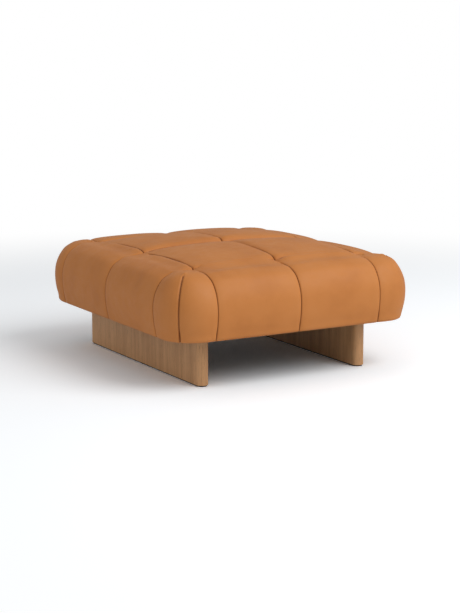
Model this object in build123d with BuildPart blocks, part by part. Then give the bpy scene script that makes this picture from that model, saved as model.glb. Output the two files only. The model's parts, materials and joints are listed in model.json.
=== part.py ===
from build123d import *
import os
from collections import namedtuple
from math import cos, radians, sin, sqrt

os.makedirs("parts", exist_ok=True)

# A low square ottoman: a leather cushion sewn in a grid of four by four pads, tied down at
# nine points, on two oak planks that run from front to back.
# Millimetres. X is left to right, Y is front to back, the floor is at zero height.

# Cushion, in plan: the grid of sewn tufts and how far the cover goes past the outer tufts
tuft_spacing_x = 300.0
tuft_spacing_y = 337.0
side_reach = 147.0
front_reach = 160.0
corner_rounding = 115.0
side_bulge = 5.0

# Cushion, heights above its own underside
centre_tuft_rise = 226.0
side_tuft_rise = 211.0
front_tuft_rise = 207.0
corner_tuft_rise = 203.0
inner_seam_rise = 234.0
side_seam_rise = 222.0
front_seam_rise = 217.0
crown_rise = 246.0
widest_rise = 102.0

# How the cover turns over the edge of the cushion, along a seam
seam_knee_inset = 85.0
seam_knee_rise = 208.0
seam_crest_rise = 212.0
# and along the middle of a pad, which is fuller
pad_knee_inset = 80.0
pad_knee_rise = 214.0
pad_crest_rise = 220.0
# and along the stitched corner and the corner pad beside it
corner_knee_inset = 88.0
corner_knee_rise = 207.0
corner_crest_rise = 212.0
corner_pad_knee_inset = 85.0
corner_pad_knee_rise = 210.0
corner_pad_crest_rise = 214.0

# The sides draw in towards the bottom edge, which is turned under and stapled
side_draw_in = 8.0
bottom_edge_radius = 12.0
flap_length = 36.0

# Materials laid over each other
leather_thickness = 2.0
soft_gap = 0.3
frame_cover_side = 12.0

# Timber frame and deck
rail_height = 60.0
rail_thickness = 30.0
leg_rail_width = 100.0
centre_rail_width = 60.0
deck_thickness = 15.0
corner_block_gap = 6.5
corner_block_length = 95.0
dowel_diameter = 8.0
dowel_length = 36.0
dowel_spacing = 30.0
dowel_inset = 13.0

# Foam on the deck, its top a little below the lowest tuft
foam_cover = 17.0
topper_height = 24.0
foam_corner_radius = 70.0
foam_edge_radius = 60.0

# Ties of the tufts, knotted under a washer in the deck
tie_diameter = 3.0
tie_hole_diameter = 7.0
tie_pocket_diameter = 26.0
tie_pocket_depth = 9.0
tie_washer_diameter = 24.0
tie_washer_thickness = 3.0
tie_knot_diameter = 9.0
tie_knot_height = 4.0

# Legs: planks with full round ends, on a glide strip
leg_height = 154.0
leg_thickness = 40.0
leg_length = 792.0
leg_spacing = 587.0
leg_edge_radius = 1.0
glide_thickness = 4.0
glide_inset = 3.5

# Steel plate on top of each leg
plate_thickness = 4.0
plate_width = 90.0
plate_end_distance = 66.0
plate_corner_radius = 10.0
bolt_edge_distance = 11.0
bolt_end_distance = 40.0
bolts_along = 3
bolt_diameter = 8.0
bolt_length = 22.0
bolt_head_diameter = 14.0
bolt_head_height = 4.4
bolt_head_radius = 1.5
bolt_socket_width = 5.0
bolt_socket_depth = 2.6
bolt_clearance = 0.5
insert_diameter = 12.0
insert_length = 20.0

# Countersunk wood screws, by diameter and length
leg_screw_diameter = 6.0
leg_screw_length = 60.0
leg_screw_end_distance = 30.0
leg_screws_per_leg = 4
glide_screw_diameter = 3.0
glide_screw_length = 18.0
glide_screw_end_distance = 56.0
glide_screws_per_leg = 5
rail_screw_diameter = 5.0
rail_screw_length = 70.0
rail_screw_spacing = 30.0
deck_screw_diameter = 4.5
deck_screw_length = 40.0
screw_head_share = 2.0
screw_point_share = 0.8
screw_recess = 0.4
screw_clearance = 0.05

# Dust cover and the staples that hold it and the leather
dust_cover_thickness = 1.0
dust_cover_margin = 10.0
plate_cutout_clearance = 2.0
staple_width = 10.0
staple_wire = 1.0
staple_depth = 9.0
staple_spacing = 95.0
staple_inset = 17.0

# Shares of the shapes that they follow
round_share = sqrt(1 / 2)
waist_share = 0.25

# How far a cut runs past what it cuts, and a right angle
cut_overrun = 5.0
quarter_turn = 90.0

# Levels and places that follow from the sizes above
underside = glide_thickness + leg_height + plate_thickness - leather_thickness
frame_bottom = underside + leather_thickness
deck_bottom = frame_bottom + rail_height
deck_top = deck_bottom + deck_thickness
foam_top = underside + min(centre_tuft_rise, side_tuft_rise, front_tuft_rise,
                           corner_tuft_rise) - foam_cover
foam_split = foam_top - topper_height
fill_inset = leather_thickness + soft_gap
frame_half_x = tuft_spacing_x + side_reach - side_draw_in - bottom_edge_radius - frame_cover_side
frame_half_y = tuft_spacing_y + front_reach - side_draw_in - bottom_edge_radius - frame_cover_side
frame_corner_radius = corner_rounding - side_draw_in - bottom_edge_radius - frame_cover_side
inner_half_x = frame_half_x - rail_thickness
inner_half_y = frame_half_y - rail_thickness
leg_place = leg_spacing / 2
plate_length = leg_length - 2 * plate_end_distance
bolt_spacing_across = plate_width - 2 * bolt_edge_distance
bolt_spacing_along = (plate_length - 2 * bolt_end_distance) / (bolts_along - 1)
leg_screw_spacing = (plate_length - 2 * leg_screw_end_distance) / (leg_screws_per_leg - 1)
glide_screw_spacing = (leg_length - 2 * glide_screw_end_distance) / (glide_screws_per_leg - 1)
corner_block_x = leg_place + leg_rail_width / 2 + corner_block_gap
corner_block_y = frame_half_y - corner_block_length
corner_angle = quarter_turn / 2

Profile = namedtuple("Profile", "start crest_rise knee_out knee_rise reach widest_rise")
Start = namedtuple("Start", "out rise")


def seam_profile(reach, tuft_rise, start_out=0.0):
    # Cover line along a seam that comes from a tuft
    return Profile(Start(start_out, tuft_rise), seam_crest_rise, reach - seam_knee_inset,
                   seam_knee_rise, reach, widest_rise)


def pad_profile(reach, seam_rise):
    # Cover line along the middle of an edge pad, which starts at the seam of the pad behind it
    return Profile(Start(0.0, seam_rise), pad_crest_rise, reach - pad_knee_inset,
                   pad_knee_rise, reach + side_bulge, widest_rise)


def corner_reach(angle):
    # From a corner tuft out to the rounded corner of the cushion
    centre_x = side_reach - corner_rounding
    centre_y = front_reach - corner_rounding
    along = centre_x * cos(radians(angle)) + centre_y * sin(radians(angle))
    return along + sqrt(along ** 2 - centre_x ** 2 - centre_y ** 2 + corner_rounding ** 2)


def corner_pad_profile(angle, start_out):
    # Cover line across a corner pad, halfway between its seam and the stitched corner
    reach = corner_reach(angle) + side_bulge
    return Profile(Start(start_out, corner_tuft_rise), corner_pad_crest_rise,
                   reach - corner_pad_knee_inset, corner_pad_knee_rise, reach, widest_rise)


def corner_profile(start_out):
    # Cover line along the stitched corner
    reach = corner_reach(corner_angle)
    return Profile(Start(start_out, corner_tuft_rise), corner_crest_rise,
                   reach - corner_knee_inset, corner_knee_rise, reach, widest_rise)


def draw_cover_line(profile, inset):
    # Four arcs, over the top, round the shoulder, down the side and in under the edge
    top = profile.knee_rise - inset
    side = profile.reach - inset
    foot_out = profile.reach - side_draw_in - inset
    edge_centre = profile.reach - side_draw_in - bottom_edge_radius
    edge_radius = bottom_edge_radius - inset
    start = (profile.start.out, underside + profile.start.rise - inset)
    crest = ((profile.start.out + profile.knee_out) / 2, underside + profile.crest_rise - inset)
    knee = (profile.knee_out, underside + top)
    shoulder = (profile.knee_out + (side - profile.knee_out) * round_share,
                underside + profile.widest_rise + (top - profile.widest_rise) * round_share)
    widest = (side, underside + profile.widest_rise)
    waist = (side - side_draw_in * waist_share,
             underside + (profile.widest_rise + bottom_edge_radius) / 2)
    foot = (foot_out, underside + bottom_edge_radius)
    heel = (edge_centre + edge_radius * round_share,
            underside + bottom_edge_radius - edge_radius * round_share)
    under = (edge_centre, underside + inset)
    ThreePointArc(start, crest, knee)
    ThreePointArc(knee, shoulder, widest)
    ThreePointArc(widest, waist, foot)
    ThreePointArc(foot, heel, under)
    return start, under


def leather_section(plane, profile):
    # A band as thick as the leather, from the tuft line to the end of the stapled flap
    with BuildSketch(plane) as section:
        with BuildLine():
            outer_start, outer_under = draw_cover_line(profile, 0.0)
            inner_start, inner_under = draw_cover_line(profile, leather_thickness)
            flap_end = outer_under[0] - flap_length
            Line(outer_start, inner_start)
            Line(outer_under, (flap_end, outer_under[1]))
            Line((flap_end, outer_under[1]), (flap_end, inner_under[1]))
            Line((flap_end, inner_under[1]), inner_under)
        make_face()
    return section.sketch


def fill_section(plane, profile):
    # All that the cover encloses, later cut back to the foam and the frame
    with BuildSketch(plane) as section:
        with BuildLine():
            start, under = draw_cover_line(profile, fill_inset)
            foot = (profile.start.out, under[1])
            Line(under, foot)
            Line(foot, start)
        make_face()
    return section.sketch


def section_plane(origin_x, origin_y, angle):
    # An upright plane whose own X points outwards, at an angle from the object's X
    outwards = (cos(radians(angle)), sin(radians(angle)), 0)
    normal = (sin(radians(angle)), -cos(radians(angle)), 0)
    return Plane(origin=(origin_x, origin_y, 0), x_dir=outwards, z_dir=normal)


def sections(draw, places):
    # One closed section on each plane
    return [draw(plane, profile) for plane, profile in places]


# Sections of the back right quarter; the other quarters are its mirror images
def side_pad_places():
    return [(section_plane(tuft_spacing_x, 0, 0), seam_profile(side_reach, side_tuft_rise)),
            (section_plane(tuft_spacing_x, tuft_spacing_y / 2, 0),
             pad_profile(side_reach, side_seam_rise)),
            (section_plane(tuft_spacing_x, tuft_spacing_y, 0),
             seam_profile(side_reach, corner_tuft_rise))]


def front_pad_places():
    return [(section_plane(0, tuft_spacing_y, quarter_turn),
             seam_profile(front_reach, front_tuft_rise)),
            (section_plane(tuft_spacing_x / 2, tuft_spacing_y, quarter_turn),
             pad_profile(front_reach, front_seam_rise)),
            (section_plane(tuft_spacing_x, tuft_spacing_y, quarter_turn),
             seam_profile(front_reach, corner_tuft_rise))]


def corner_half_places(reach, seam_angle):
    # From a seam round to the stitched corner; the sections stand clear of the tie in the tuft
    start_out = tie_diameter
    middle_angle = (seam_angle + corner_angle) / 2
    return [(section_plane(tuft_spacing_x, tuft_spacing_y, seam_angle),
             seam_profile(reach, corner_tuft_rise, start_out)),
            (section_plane(tuft_spacing_x, tuft_spacing_y, middle_angle),
             corner_pad_profile(middle_angle, start_out)),
            (section_plane(tuft_spacing_x, tuft_spacing_y, corner_angle),
             corner_profile(start_out))]


def corner_places():
    return [corner_half_places(side_reach, 0), corner_half_places(front_reach, quarter_turn)]


def draw_top_arc(heights, inset):
    # The top line of a centre pad, from the middle of the cushion outwards
    near, crest, far = (underside + height - inset for height in heights)
    ThreePointArc((0, near), (tuft_spacing_x / 2, crest), (tuft_spacing_x, far))
    return (0, near), (tuft_spacing_x, far)


def top_leather_section(plane, heights):
    with BuildSketch(plane) as section:
        with BuildLine():
            outer_near, outer_far = draw_top_arc(heights, 0.0)
            inner_near, inner_far = draw_top_arc(heights, leather_thickness)
            Line(outer_near, inner_near)
            Line(outer_far, inner_far)
        make_face()
    return section.sketch


def top_fill_section(plane, heights):
    with BuildSketch(plane) as section:
        with BuildLine():
            near, far = draw_top_arc(heights, fill_inset)
            Polyline(near, (0, foam_top + soft_gap), (tuft_spacing_x, foam_top + soft_gap), far)
        make_face()
    return section.sketch


def top_pad_places():
    return [(section_plane(0, 0, 0), (centre_tuft_rise, inner_seam_rise, side_tuft_rise)),
            (section_plane(0, tuft_spacing_y / 2, 0),
             (inner_seam_rise, crown_rise, side_seam_rise)),
            (section_plane(0, tuft_spacing_y, 0),
             (front_tuft_rise, front_seam_rise, corner_tuft_rise))]


tuft_rises = {(0, 0): centre_tuft_rise, (1, 0): side_tuft_rise,
              (0, 1): front_tuft_rise, (1, 1): corner_tuft_rise}
tuft_places = [(column * tuft_spacing_x, row * tuft_spacing_y,
                underside + tuft_rises[(abs(column), abs(row))])
               for column in (-1, 0, 1) for row in (-1, 0, 1)]


def save(built, name):
    built.part.label = name
    export_step(built.part, f"parts/{name}.step")


def save_quarters(quarter, names):
    # Four mirror images of the back right one
    for name, flips in zip(names, ((), (Plane.YZ,), (Plane.XZ,), (Plane.YZ, Plane.XZ))):
        with BuildPart() as piece:
            add(quarter.part)
            for flip in flips:
                mirror(about=flip, mode=Mode.REPLACE)
        save(piece, name)


def quarter_names(word):
    return [word.format(side) for side in ("back_right", "back_left", "front_right", "front_left")]


# Leather panels: four on top, two on each side and one on each corner
def make_leather_panels(staple_space):
    with BuildPart() as top_panel:
        loft(sections(top_leather_section, top_pad_places()))
    save_quarters(top_panel, quarter_names("top_panel_{}"))
    with BuildPart() as side_panel:
        loft(sections(leather_section, side_pad_places()))
        add(staple_space, mode=Mode.SUBTRACT)
    save_quarters(side_panel, ("right_panel_back", "left_panel_back",
                               "right_panel_front", "left_panel_front"))
    with BuildPart() as front_panel:
        loft(sections(leather_section, front_pad_places()))
        add(staple_space, mode=Mode.SUBTRACT)
    save_quarters(front_panel, ("back_panel_right", "back_panel_left",
                                "front_panel_right", "front_panel_left"))
    with BuildPart() as corner_panel:
        for places in corner_places():
            loft(sections(leather_section, places))
        add(staple_space, mode=Mode.SUBTRACT)
    save_quarters(corner_panel, quarter_names("corner_panel_{}"))


# Foam block: firm core below, soft topper above, one shape cut at the joint between them
def block_outline(height, grown, corner_radius):
    # The plan of the foam and the frame, with its corners rounded
    with BuildSketch(Plane.XY.offset(height)) as outline:
        RectangleRounded(2 * (frame_half_x + grown), 2 * (frame_half_y + grown),
                         corner_radius + grown)
    return outline.sketch


def make_core_space():
    # The room that frame, deck, foam and ties take up inside the filling
    with BuildPart() as core_space:
        extrude(block_outline(deck_top, soft_gap, foam_corner_radius),
                amount=foam_top + soft_gap - deck_top)
        fillet(core_space.faces().sort_by(Axis.Z)[-1].edges(), foam_edge_radius + soft_gap)
        extrude(block_outline(underside - cut_overrun, soft_gap, frame_corner_radius),
                amount=deck_top + soft_gap - underside + cut_overrun)
        with BuildSketch(Plane.XY.offset(deck_top)):
            with Locations(*[(x, y) for x, y, height in tuft_places]):
                Circle(tie_diameter / 2 + soft_gap)
        extrude(amount=crown_rise)
    return core_space


def make_filling(core_space):
    with BuildPart() as top_fill:
        loft(sections(top_fill_section, top_pad_places()))
        add(core_space.part, mode=Mode.SUBTRACT)
    save_quarters(top_fill, quarter_names("top_wadding_{}"))
    with BuildPart() as side_fill:
        loft(sections(fill_section, side_pad_places()))
        add(core_space.part, mode=Mode.SUBTRACT)
    save_quarters(side_fill, ("right_wadding_back", "left_wadding_back",
                              "right_wadding_front", "left_wadding_front"))
    with BuildPart() as front_fill:
        loft(sections(fill_section, front_pad_places()))
        add(core_space.part, mode=Mode.SUBTRACT)
    save_quarters(front_fill, ("back_wadding_right", "back_wadding_left",
                               "front_wadding_right", "front_wadding_left"))
    with BuildPart() as corner_fill:
        for places in corner_places():
            loft(sections(fill_section, places))
        add(core_space.part, mode=Mode.SUBTRACT)
    save_quarters(corner_fill, quarter_names("corner_wadding_{}"))


def make_foam():
    with BuildPart() as foam_block:
        extrude(block_outline(deck_top, 0.0, foam_corner_radius), amount=foam_top - deck_top)
        fillet(foam_block.faces().sort_by(Axis.Z)[-1].edges(), foam_edge_radius)
        with BuildSketch(Plane.XY.offset(deck_top)):
            with Locations(*[(x, y) for x, y, height in tuft_places]):
                Circle(tie_diameter / 2 + soft_gap)
        extrude(amount=foam_top - deck_top, mode=Mode.SUBTRACT)
    with BuildPart() as foam_core:
        add(foam_block.part)
        split(bisect_by=Plane.XY.offset(foam_split), keep=Keep.BOTTOM)
    save(foam_core, "foam_core")
    with BuildPart() as foam_topper:
        add(foam_block.part)
        split(bisect_by=Plane.XY.offset(foam_split), keep=Keep.TOP)
    save(foam_topper, "foam_topper")


# Ties: a twine from each tuft down through the foam and the deck, with a knot under a washer
def make_ties():
    pocket_top = deck_bottom + tie_pocket_depth
    washer_bottom = pocket_top - tie_washer_thickness
    with BuildPart() as tuft_ties:
        for x, y, tuft_height in tuft_places:
            with BuildSketch(Plane((x, y, washer_bottom))):
                Circle(tie_diameter / 2)
            extrude(amount=tuft_height - fill_inset - washer_bottom)
            with BuildSketch(Plane((x, y, washer_bottom - tie_knot_height))):
                Circle(tie_knot_diameter / 2)
            extrude(amount=tie_knot_height)
    save(tuft_ties, "tuft_ties")
    with BuildPart() as tuft_washers:
        with BuildSketch(Plane.XY.offset(washer_bottom)):
            with Locations(*[(x, y) for x, y, height in tuft_places]):
                Circle(tie_washer_diameter / 2)
                Circle(tie_diameter / 2 + soft_gap, mode=Mode.SUBTRACT)
        extrude(amount=tie_washer_thickness)
    save(tuft_washers, "tuft_washers")


def screw_shape(diameter, length, grown=0.0):
    # A countersunk screw, its head at zero height and its point downwards
    head = diameter * screw_head_share / 2 + grown
    shank = diameter / 2 + grown
    cone = head - shank
    point = diameter * screw_point_share
    with BuildPart() as screw:
        with BuildSketch(Plane.XZ):
            with BuildLine():
                Polyline((0, 0), (head, 0), (shank, -cone), (shank, point - length),
                         (0, -length - grown), close=True)
            make_face()
        revolve(axis=Axis.Z)
    return screw.part


# Places of the screws, as a height, a turn and the points where their heads are
def deck_screw_places():
    near_x, near_y = tuft_spacing_x / 3, tuft_spacing_y / 3
    side_x = frame_half_x - rail_thickness / 2
    front_y = frame_half_y - rail_thickness / 2
    columns = [(x, y) for x in (-side_x, -leg_place, 0, leg_place, side_x)
               for y in (-2 * near_y, -near_y, near_y, 2 * near_y)]
    rows = [(x, y) for y in (-front_y, front_y)
            for x in (-2 * near_x, -near_x, near_x, 2 * near_x)]
    return [(x, y, deck_top - screw_recess) for x, y in columns + rows]


def end_screw_places(end):
    # Through the front or the back rail into the ends of the rails between them
    middle = frame_bottom + rail_height / 2
    return [(centre + step * rail_screw_spacing / 2, end * (frame_half_y - screw_recess), middle)
            for centre in (-leg_place, 0, leg_place) for step in (-1, 1)]


def rail_screw_shapes(grown):
    screw = screw_shape(rail_screw_diameter, rail_screw_length, grown)
    with BuildPart() as screws:
        for end in (-1, 1):
            with Locations(*end_screw_places(end)):
                add(screw, rotation=(-end * quarter_turn, 0, 0))
    return screws.part


def deck_screw_shapes(grown):
    screw = screw_shape(deck_screw_diameter, deck_screw_length, grown)
    with BuildPart() as screws:
        with Locations(*deck_screw_places()):
            add(screw)
    return screws.part


def leg_screw_shapes(grown):
    screw = screw_shape(leg_screw_diameter, leg_screw_length, grown)
    with BuildPart() as screws:
        for side in (-1, 1):
            with Locations((side * leg_place, 0, frame_bottom - screw_recess)):
                with GridLocations(leg_screw_spacing, leg_screw_spacing, 1, leg_screws_per_leg):
                    add(screw)
    return screws.part


def glide_screw_shapes(grown):
    screw = screw_shape(glide_screw_diameter, glide_screw_length, grown)
    with BuildPart() as screws:
        for side in (-1, 1):
            with Locations((side * leg_place, 0, screw_recess)):
                with GridLocations(glide_screw_spacing, glide_screw_spacing,
                                   1, glide_screws_per_leg):
                    add(screw, rotation=(2 * quarter_turn, 0, 0))
    return screws.part


def staple_shapes(grown):
    # Staples stand in a row along each side of the frame, their crowns along the edge
    count_x = int(2 * frame_half_x / staple_spacing)
    count_y = int(2 * frame_half_y / staple_spacing)
    crown_bottom = underside - dust_cover_thickness - staple_wire
    wire = staple_wire + 2 * grown
    depth = staple_depth + grown
    prong_offset = (staple_width - staple_wire) / 2
    with BuildPart() as staples:
        for turned in (False, True):
            spacing_x = 2 * (frame_half_x - staple_inset) if turned else staple_spacing
            spacing_y = staple_spacing if turned else 2 * (frame_half_y - staple_inset)
            rows = (2, count_y) if turned else (count_x, 2)
            prongs = [(0, step * prong_offset) if turned else (step * prong_offset, 0)
                      for step in (-1, 1)]
            crown = (wire, staple_width + 2 * grown) if turned else (staple_width + 2 * grown, wire)
            with BuildSketch(Plane.XY.offset(crown_bottom)):
                with GridLocations(spacing_x, spacing_y, *rows):
                    Rectangle(*crown)
            extrude(amount=staple_wire)
            with BuildSketch(Plane.XY.offset(crown_bottom)):
                with GridLocations(spacing_x, spacing_y, *rows):
                    with Locations(*prongs):
                        Rectangle(wire, wire)
            extrude(amount=depth)
    return staples.part


# Timber frame: a rail on each side between rounded corner blocks, one over each leg and one
# in the middle, glued and dowelled at the corners
def dowel_shapes(grown):
    middle = frame_bottom + rail_height / 2
    radius = dowel_diameter / 2 + grown
    length = dowel_length + 2 * grown
    with BuildPart() as dowels:
        for side in (-1, 1):
            for end in (-1, 1):
                for step in (-1, 1):
                    height = middle + step * dowel_spacing / 2
                    with Locations((side * (inner_half_x + dowel_inset),
                                    end * corner_block_y, height)):
                        Cylinder(radius, length, rotation=(quarter_turn, 0, 0))
                    with Locations((side * corner_block_x,
                                    end * (inner_half_y + dowel_inset), height)):
                        Cylinder(radius, length, rotation=(0, quarter_turn, 0))
    return dowels.part


def save_rail(name, centre_x, centre_y, size_x, size_y, cuts):
    with BuildPart() as rail:
        with BuildSketch(Plane.XY.offset(frame_bottom)):
            with Locations((centre_x, centre_y)):
                Rectangle(size_x, size_y)
        extrude(amount=rail_height)
        extrude(block_outline(frame_bottom, 0.0, frame_corner_radius), amount=rail_height,
                mode=Mode.INTERSECT)
        for cut in cuts:
            add(cut, mode=Mode.SUBTRACT)
    save(rail, name)


def make_frame(cuts, insert_space):
    side_x = frame_half_x - rail_thickness / 2
    front_y = frame_half_y - rail_thickness / 2
    save_rail("left_rail", -side_x, 0, rail_thickness, 2 * corner_block_y, cuts)
    save_rail("right_rail", side_x, 0, rail_thickness, 2 * corner_block_y, cuts)
    save_rail("front_rail", 0, -front_y, 2 * corner_block_x, rail_thickness, cuts)
    save_rail("back_rail", 0, front_y, 2 * corner_block_x, rail_thickness, cuts)
    save_rail("left_leg_rail", -leg_place, 0, leg_rail_width, 2 * inner_half_y,
              cuts + [insert_space])
    save_rail("right_leg_rail", leg_place, 0, leg_rail_width, 2 * inner_half_y,
              cuts + [insert_space])
    save_rail("centre_rail", 0, 0, centre_rail_width, 2 * inner_half_y, cuts)


def make_corner_blocks(cuts):
    with BuildPart() as corner_blocks:
        with BuildSketch(Plane.XY.offset(frame_bottom)):
            for side in (-1, 1):
                for end in (-1, 1):
                    with Locations((side * (corner_block_x + frame_half_x) / 2,
                                    end * (corner_block_y + frame_half_y) / 2)):
                        Rectangle(frame_half_x - corner_block_x, frame_half_y - corner_block_y)
        extrude(amount=rail_height)
        extrude(block_outline(frame_bottom, 0.0, frame_corner_radius), amount=rail_height,
                mode=Mode.INTERSECT)
        for cut in cuts:
            add(cut, mode=Mode.SUBTRACT)
    save(corner_blocks, "corner_blocks")


def make_deck(deck_screw_space):
    with BuildPart() as deck_board:
        extrude(block_outline(deck_bottom, 0.0, frame_corner_radius), amount=deck_thickness)
        with Locations(*[(x, y, deck_bottom) for x, y, height in tuft_places]):
            Cylinder(tie_hole_diameter / 2, deck_thickness, mode=Mode.SUBTRACT,
                     align=(Align.CENTER, Align.CENTER, Align.MIN))
            Cylinder(tie_pocket_diameter / 2, tie_pocket_depth, mode=Mode.SUBTRACT,
                     align=(Align.CENTER, Align.CENTER, Align.MIN))
        add(deck_screw_space, mode=Mode.SUBTRACT)
    save(deck_board, "deck_board")


# Legs: an oak plank, its glide strip and its steel plate, alike on both sides
def make_legs(leg_screw_space, glide_screw_space):
    for side, word in ((-1, "left"), (1, "right")):
        middle = (side * leg_place, 0)
        with BuildPart() as leg:
            with BuildSketch(Plane.XY.offset(glide_thickness)):
                with Locations(middle):
                    SlotOverall(leg_length, leg_thickness, rotation=quarter_turn)
            extrude(amount=leg_height)
            fillet(leg.faces().filter_by(Axis.Z).edges(), leg_edge_radius)
            add(leg_screw_space, mode=Mode.SUBTRACT)
            add(glide_screw_space, mode=Mode.SUBTRACT)
        save(leg, f"leg_{word}")
        with BuildPart() as glide:
            with BuildSketch(Plane.XY):
                with Locations(middle):
                    SlotOverall(leg_length - 2 * glide_inset, leg_thickness - 2 * glide_inset,
                                rotation=quarter_turn)
            extrude(amount=glide_thickness)
            add(glide_screw_space, mode=Mode.SUBTRACT)
        save(glide, f"glide_{word}")
        with BuildPart() as plate:
            with BuildSketch(Plane.XY.offset(frame_bottom - plate_thickness)):
                with Locations(middle):
                    RectangleRounded(plate_width, plate_length, plate_corner_radius)
                    with bolt_grid():
                        Circle((bolt_diameter + bolt_clearance) / 2, mode=Mode.SUBTRACT)
            extrude(amount=plate_thickness)
            add(leg_screw_space, mode=Mode.SUBTRACT)
        save(plate, f"leg_plate_{word}")


def bolt_grid():
    return GridLocations(bolt_spacing_across, bolt_spacing_along, 2, bolts_along)


def make_bolts():
    plate_bottom = frame_bottom - plate_thickness
    with BuildPart() as leg_bolts:
        for side in (-1, 1):
            with Locations((side * leg_place, 0, plate_bottom)):
                with bolt_grid():
                    Cylinder(bolt_diameter / 2, bolt_length,
                             align=(Align.CENTER, Align.CENTER, Align.MIN))
                    Cylinder(bolt_head_diameter / 2, bolt_head_height,
                             align=(Align.CENTER, Align.CENTER, Align.MAX))
        fillet(leg_bolts.faces().sort_by(Axis.Z)[0:len(leg_bolts.solids())].edges(),
               bolt_head_radius)
        with BuildSketch(Plane.XY.offset(plate_bottom - bolt_head_height)):
            for side in (-1, 1):
                with Locations((side * leg_place, 0)):
                    with bolt_grid():
                        RegularPolygon(bolt_socket_width / 2, 6, major_radius=False)
        extrude(amount=bolt_socket_depth, mode=Mode.SUBTRACT)
    save(leg_bolts, "leg_bolts")


def insert_shapes(wall_only):
    with BuildPart() as inserts:
        for side in (-1, 1):
            with BuildSketch(Plane.XY.offset(frame_bottom)):
                with Locations((side * leg_place, 0)):
                    with bolt_grid():
                        Circle(insert_diameter / 2)
                        if wall_only:
                            Circle(bolt_diameter / 2 + screw_clearance, mode=Mode.SUBTRACT)
            extrude(amount=insert_length)
    return inserts


# Underneath: a dust cover with a cut-out round each plate, stapled over the leather flap
def make_dust_cover(staple_space):
    with BuildPart() as dust_cover:
        with BuildSketch(Plane.XY.offset(underside - dust_cover_thickness)):
            RectangleRounded(2 * (frame_half_x - dust_cover_margin),
                             2 * (frame_half_y - dust_cover_margin),
                             frame_corner_radius - dust_cover_margin)
            for side in (-1, 1):
                with Locations((side * leg_place, 0)):
                    RectangleRounded(plate_width + 2 * plate_cutout_clearance,
                                     plate_length + 2 * plate_cutout_clearance,
                                     plate_corner_radius + plate_cutout_clearance,
                                     mode=Mode.SUBTRACT)
        extrude(amount=dust_cover_thickness)
        add(staple_space, mode=Mode.SUBTRACT)
    save(dust_cover, "dust_cover")


def save_shape(shape, name):
    with BuildPart() as piece:
        add(shape)
    save(piece, name)


staple_space = staple_shapes(screw_clearance)
rail_screw_space = rail_screw_shapes(screw_clearance)
deck_screw_space = deck_screw_shapes(screw_clearance)

make_leather_panels(staple_space)
make_filling(make_core_space())
make_foam()
make_ties()
timber_cuts = [rail_screw_space, deck_screw_space, staple_space, dowel_shapes(screw_clearance)]
make_frame(timber_cuts, insert_shapes(False).part)
make_corner_blocks(timber_cuts)
make_deck(deck_screw_space)
make_legs(leg_screw_shapes(screw_clearance), glide_screw_shapes(screw_clearance))
make_bolts()
make_dust_cover(staple_space)
save(insert_shapes(True), "leg_inserts")
save_shape(staple_shapes(0.0), "cover_staples")
save_shape(dowel_shapes(0.0), "corner_dowels")
save_shape(rail_screw_shapes(0.0), "rail_screws")
save_shape(deck_screw_shapes(0.0), "deck_screws")
save_shape(leg_screw_shapes(0.0), "leg_screws")
save_shape(glide_screw_shapes(0.0), "glide_screws")
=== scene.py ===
import json
import math

import bpy
import numpy as np
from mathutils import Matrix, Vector, noise


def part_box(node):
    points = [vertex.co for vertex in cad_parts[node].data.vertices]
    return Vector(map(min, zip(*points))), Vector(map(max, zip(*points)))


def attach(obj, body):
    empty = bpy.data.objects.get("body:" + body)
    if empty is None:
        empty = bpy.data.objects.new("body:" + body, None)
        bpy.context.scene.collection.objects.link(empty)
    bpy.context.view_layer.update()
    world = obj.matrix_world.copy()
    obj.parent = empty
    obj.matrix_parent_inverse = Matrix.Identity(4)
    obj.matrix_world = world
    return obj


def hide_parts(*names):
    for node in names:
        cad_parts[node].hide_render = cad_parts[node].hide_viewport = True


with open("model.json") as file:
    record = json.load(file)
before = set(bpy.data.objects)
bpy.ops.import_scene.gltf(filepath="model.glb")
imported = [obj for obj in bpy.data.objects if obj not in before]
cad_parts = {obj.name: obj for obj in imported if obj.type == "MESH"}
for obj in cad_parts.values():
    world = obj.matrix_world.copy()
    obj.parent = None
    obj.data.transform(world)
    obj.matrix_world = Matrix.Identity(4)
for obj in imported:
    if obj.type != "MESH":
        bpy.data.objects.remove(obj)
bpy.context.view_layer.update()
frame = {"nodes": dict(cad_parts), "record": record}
bpy.ops.object.select_all(action="DESELECT")
print("frame loaded")


# Camera, at the photograph's angle
cameraView = {
    "imageSize": (460, 613),
    "turn": 30.0,            # degrees round to the left of the front
    "tilt": 10.68,           # degrees down
    "focalPixels": 1652.0,
    "depth": 5.639,          # along the view, to the middle of the footprint
    "footprintPixel": (223.52, 353.66),
    "sensor": 36.0,
}


def addCamera(view):
    turn, tilt = math.radians(view["turn"]), math.radians(view["tilt"])
    ahead = Vector((math.sin(turn) * math.cos(tilt), math.cos(turn) * math.cos(tilt), -math.sin(tilt)))
    right = Vector((math.cos(turn), -math.sin(turn), 0))
    up = right.cross(ahead)
    width, height = view["imageSize"]
    perPixel = view["depth"] / view["focalPixels"]
    across = (view["footprintPixel"][0] - width / 2) * perPixel
    above = (height / 2 - view["footprintPixel"][1]) * perPixel
    place = -(right * across + up * above + ahead * view["depth"])
    bpy.ops.object.camera_add(location=place, rotation=ahead.to_track_quat("-Z", "Y").to_euler())
    camera = bpy.context.object
    camera.name = "photoCamera"
    camera.data.sensor_width = view["sensor"]
    camera.data.lens = view["focalPixels"] * view["sensor"] / height
    camera.data.clip_end = 60
    bpy.context.scene.camera = camera


addCamera(cameraView)


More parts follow.
